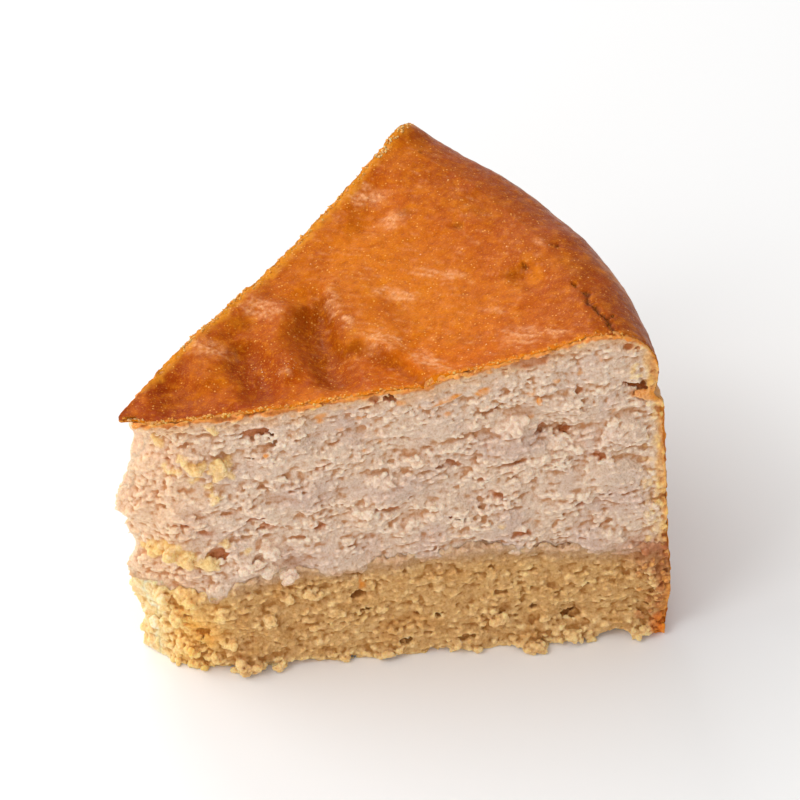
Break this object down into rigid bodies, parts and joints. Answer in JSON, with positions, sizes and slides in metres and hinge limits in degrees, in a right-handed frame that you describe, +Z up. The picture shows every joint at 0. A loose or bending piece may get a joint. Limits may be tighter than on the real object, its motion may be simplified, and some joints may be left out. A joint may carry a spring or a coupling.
{
  "type": "cheesecake slice",
  "caption": "Wedge-shaped slice of baked cheesecake with a browned top skin, a torn cream filling and a crumbly sponge base.",
  "frame": {"origin": "on the underside, below the middle of the slice's box", "axes": "+X from the pointed end to the browned outer side along the middle of the slice, +Z up"},
  "size_m": [0.0949, 0.0807, 0.0678],
  "materials": {
    "filling": "moist torn cream, with a satin browned skin on the top and the outer side",
    "base": "dry crumbly sponge, browned on the outer side"
  },
  "bodies": {
    "root": {"filling": "filling", "base": "base"}
  },
  "joints": []
}
